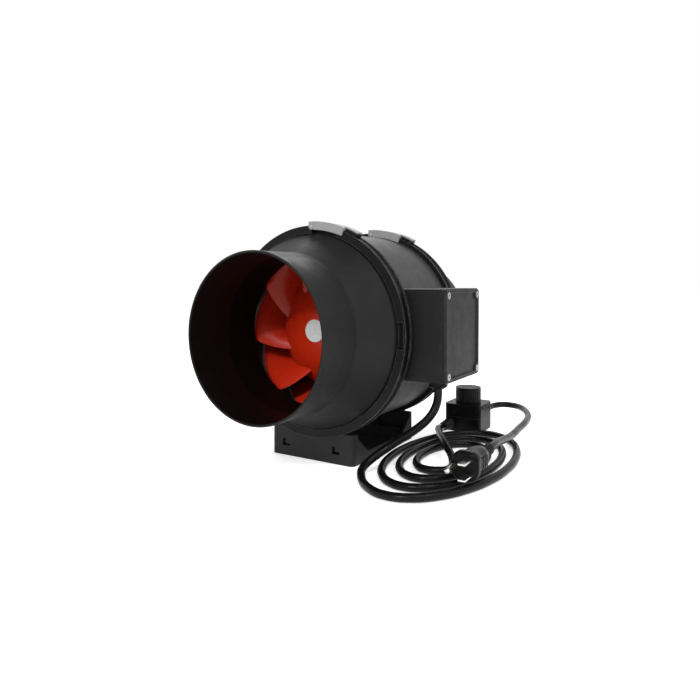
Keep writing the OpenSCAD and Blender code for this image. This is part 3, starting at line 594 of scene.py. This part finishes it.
def lathed_along(name, profile, origin, direction, around=64):
    """Solid of revolution from a closed outline of (radius, distance along the direction), in mm."""
    turn = Vector((0, 0, 1)).rotation_difference(Vector(direction))
    verts = []
    for i in range(around):
        a = TAU * i / around
        for r, t in profile:
            verts.append(Vector(origin) + turn @ Vector((r * math.cos(a), r * math.sin(a), t)) * MM)
    return piece_from(name, verts, ring_faces(around, len(profile)))


BOOT_BORE, BOOT_END_R, BOOT_GROOVE = 3.7, 4.9, 0.8  # millimetres


def ribbed_taper(root_r, length, ribs, flange):
    """Outline of a strain relief: a taper with grooves cut round it and a bore for the cord."""
    points = [(BOOT_BORE, 0), (root_r + flange, 0, 0.3), (root_r + flange, 2, 0.3)]
    pitch = (length - 5) / ribs
    for i in range(ribs):
        t = 3 + i * pitch
        r = root_r + (BOOT_END_R - root_r) * t / length
        low = r - BOOT_GROOVE
        points += [(r, t, 0.2), (low, t + 0.35 * pitch, 0.25), (low, t + 0.55 * pitch, 0.25)]
    points += [(BOOT_END_R + 0.1, length - 1.5, 0.3), (BOOT_END_R - 0.3, length, 0.4), (BOOT_BORE, length)]
    return fillet([p if len(p) > 2 else (*p, 0.1) for p in points], 0.2, 3)


def make_boots():
    for node, origin, direction in (
        ("controller_front_boot", (0.069, 0.116, 0.008), (0, -1, 0)),
        ("controller_rear_boot", (0.085, 0.158, 0.008), (0, 1, 0)),
    ):
        profile = ribbed_taper(root_r=6.2, length=20, ribs=5, flange=0.3)
        piece = lathed_along(node + "_ribbed", profile, origin, direction)
        finish_mesh(piece, RUBBER, "housing", [node])
    profile = ribbed_taper(root_r=7.0, length=25, ribs=6, flange=0.2)
    piece = lathed_along("plug_boot_ribbed", profile, (0.158, -0.031, 0.0205), (0, 1, 0))
    finish_mesh(piece, RUBBER, "housing", ["plug_boot"])


def squarish(half, power, count):
    """Points of a rounded square outline; the higher the power, the squarer it is."""
    out = []
    for k in range(count):
        a = TAU * (k + 0.5) / count
        out.append(tuple(half * math.copysign(abs(v) ** (2 / power), v) for v in (math.cos(a), math.sin(a))))
    return out


PLUG_X, PLUG_FACE_Y, PLUG_Z = 158, -69, 20.5  # middle of the plug's face, in millimetres
GRIP_BARS, GRIP_START, GRIP_PITCH, GRIP_OUT = 4, 15, 4.2, 10.0
GRIP_SIZE = (0.9, 1.4, 10)


def make_plug():
    """Moulded plug: a wide front flange, a waist for the fingers and a smaller tail."""
    stations = [  # distance behind the face, half width and squareness
        (0.0, 10.2, 2.6), (0.4, 11.1, 2.8), (1.2, 11.8, 2.9), (2.2, 12.0, 3), (8.0, 12.0, 3), (9.6, 11.5, 3),
        (11.0, 10.5, 2.9), (16.0, 10.0, 2.8), (22.0, 9.8, 2.7), (28.0, 9.9, 2.6), (33.0, 9.6, 2.4),
        (36.5, 8.8, 2.2), (38.0, 7.8, 2.1),
    ]
    count = 72
    verts, faces = [], []
    for t, half, power in stations:
        for x, z in squarish(half, power, count):
            verts.append((MM * (PLUG_X + x), MM * (PLUG_FACE_Y + t), MM * (PLUG_Z + z)))
    for i in range(len(stations) - 1):
        for k in range(count):
            n = (k + 1) % count
            faces.append((i * count + k, i * count + n, (i + 1) * count + n, (i + 1) * count + k))
    faces.append(tuple(range(count)))
    faces.append(tuple(range(len(verts) - 1, len(verts) - 1 - count, -1)))
    for side in (-1, 1):
        for i in range(GRIP_BARS):
            y = PLUG_FACE_Y + GRIP_START + i * GRIP_PITCH
            add_bar(verts, faces, (PLUG_X + side * GRIP_OUT, y, PLUG_Z), GRIP_SIZE)
    plug = piece_from("plug_moulding", verts, faces)
    finish_mesh(plug, CONTROLLER, "housing", ["plug_body"], sharp=38)


def add_bar(verts, faces, middle, size):
    """Adds a small bar with chamfered corners, in millimetres, to a mesh's lists."""
    cx, cy, cz = middle
    hx, hy, hz = (s / 2 for s in size)
    cut = 0.4
    start = len(verts)
    for sx in (-1, 1):
        for sy, sz, cut_y, cut_z in (
            (-1, -1, cut, 0), (-1, -1, 0, cut), (-1, 1, 0, cut), (-1, 1, cut, 0),
            (1, 1, cut, 0), (1, 1, 0, cut), (1, -1, 0, cut), (1, -1, cut, 0),
        ):
            verts.append((MM * (cx + sx * hx), MM * (cy + sy * (hy - cut_y)), MM * (cz + sz * (hz - cut_z))))
    for k in range(8):
        n = (k + 1) % 8
        faces.append((start + k, start + n, start + 8 + n, start + 8 + k))
    faces.append(tuple(start + k for k in range(8)))
    faces.append(tuple(start + 15 - k for k in range(8)))


# ---- Pieces that keep their CAD shape, with rounded edges ----

REFINED = (  # material, width of the rounding in millimetres, nodes
    (CENTRE, 0.5, ("centre_casing",)),
    (BAND, 0.4, ("front_clamp_band", "rear_clamp_band")),
    (BLACK, 0.5, ("front_latch_catch", "rear_latch_catch")),
    (LEVER, 0.6, ("front_latch_lever", "rear_latch_lever")),
    (BASE, 0.7, ("mounting_base",)),
    (BOX, 0.7, ("terminal_box",)),
    (LID, 0.5, ("terminal_lid",)),
    (CONTROLLER, 0.9, ("controller_lower", "controller_upper")),
    (KNOB, 0.6, ("speed_knob",)),
    (VANE_PAINTED_LIGHT, 0.5, ("vane_ring", "guide_vanes", "vane_hub", "tail_cone", "impeller_shroud")),
    (BLACK, 0.4, ("gland_body", "gland_nut", "gland_locknut")),
    (RUBBER, 0.2, ("lid_gasket", "front_gasket", "rear_gasket", "gland_seal")),
    (ZINC, 0.25, ("lid_screws", "base_screws", "controller_screws", "motor_screws", "impeller_screws")),
    (STEEL, 0.3, ("rotor_bell", "shaft", "front_bearing", "rear_bearing", "knob_spindle")),
    (STEEL, 0.2, ("latch_pins",)),
    (NICKEL, 0.35, ("plug_blades", "plug_ground_pin")),
    (STACK, 0.2, ("stator_core",)),
    (COPPER, 0.8, ("stator_windings",)),
    (ALLOY, 0.4, ("bearing_tube", "speed_control")),
    (FERRITE, 0.3, ("rotor_magnets",)),
    (WHITE, 0.5, ("terminal_block", "run_capacitor")),
    (BOARD, 0.15, ("controller_board",)),
)


def refine_all():
    for mat, width, nodes in REFINED:
        for node in nodes:
            refine(node, mat, width * MM)


lead.data.materials.append(JACKET)
plug_lead.data.materials.append(JACKET)
make_casings()
make_impeller()
make_boots()
make_plug()
refine_all()


# ---- Stage and light ----

def hang_lamp(name, data, place, target):
    """Puts a light at the place, turned to the target."""
    lamp = bpy.data.objects.new(name, data)
    scene.collection.objects.link(lamp)
    lamp.location = place
    lamp.rotation_euler = (Vector(target) - Vector(place)).to_track_quat("-Z", "Y").to_euler()


def area_light(name, place, target, size, power):
    data = bpy.data.lights.new(name, "AREA")
    data.shape = "RECTANGLE"
    data.size, data.size_y = size
    data.energy = power
    hang_lamp(name, data, place, target)


def spot_light(name, place, target, cone, power):
    """A soft round pool of light; the cone is its full angle in degrees."""
    data = bpy.data.lights.new(name, "SPOT")
    data.spot_size = math.radians(cone)
    data.spot_blend = 1.0
    data.shadow_soft_size = 0.04
    data.energy = power
    hang_lamp(name, data, place, target)


FLOOR_HALF, FLOOR_Z = 12, -0.0005  # the floor is just below the base, so that they don't coincide
FLOOR_GLOW = 0.62


def make_floor():
    mesh = bpy.data.meshes.new("floor")
    signs = ((-1, -1), (1, -1), (1, 1), (-1, 1))
    mesh.from_pydata([(x * FLOOR_HALF, y * FLOOR_HALF, FLOOR_Z) for x, y in signs], [], [(0, 1, 2, 3)])
    floor = bpy.data.objects.new("floor", mesh)
    scene.collection.objects.link(floor)
    mat = bpy.data.materials.new("floor")
    mat.use_nodes = True
    shader = mat.node_tree.nodes["Principled BSDF"]
    shader.inputs["Base Color"].default_value = (0.9, 0.9, 0.9, 1)
    shader.inputs["Roughness"].default_value = 0.8
    shader.inputs["Specular IOR Level"].default_value = 0.1
    shader.inputs["Emission Color"].default_value = (1, 1, 1, 1)
    shader.inputs["Emission Strength"].default_value = FLOOR_GLOW
    mesh.materials.append(mat)


def make_lights():
    area_light("key", (0.95, -0.25, 1.35), (0, 0, 0.12), (0.9, 0.7), 9)
    area_light("right", (1.5, 0.15, 0.5), (0.05, 0, 0.12), (0.5, 0.9), 1)
    area_light("front", (0.35, -1.1, 0.9), (0, -0.05, 0.1), (0.35, 0.25), 7)
    spot_light("inlet", (0.1, -1.0, 0.66), (-0.02, -0.05, 0.066), 9, 30)
    area_light("back", (-0.5, 0.9, 1.3), (0, 0, 0.15), (0.8, 0.6), 10)


def make_world():
    """White all round the horizon, as a paper sweep is, and darker overhead."""
    world = bpy.data.worlds.new("world")
    world.use_nodes = True
    tree = world.node_tree
    coords = tree.nodes.new("ShaderNodeTexCoord").outputs["Generated"]
    split = tree.nodes.new("ShaderNodeSeparateXYZ")
    tree.links.new(coords, split.inputs[0])
    background = tree.nodes["Background"]
    background.inputs["Color"].default_value = (1, 1, 1, 1)
    strength = ranged(tree, split.outputs["Z"], low=1.0, high=0.2, from_low=0.45, from_high=0.8)
    tree.links.new(strength, background.inputs["Strength"])
    scene.world = world


make_floor()
make_world()
make_lights()
scene.view_settings.view_transform = "Standard"

bpy.context.view_layer.update()
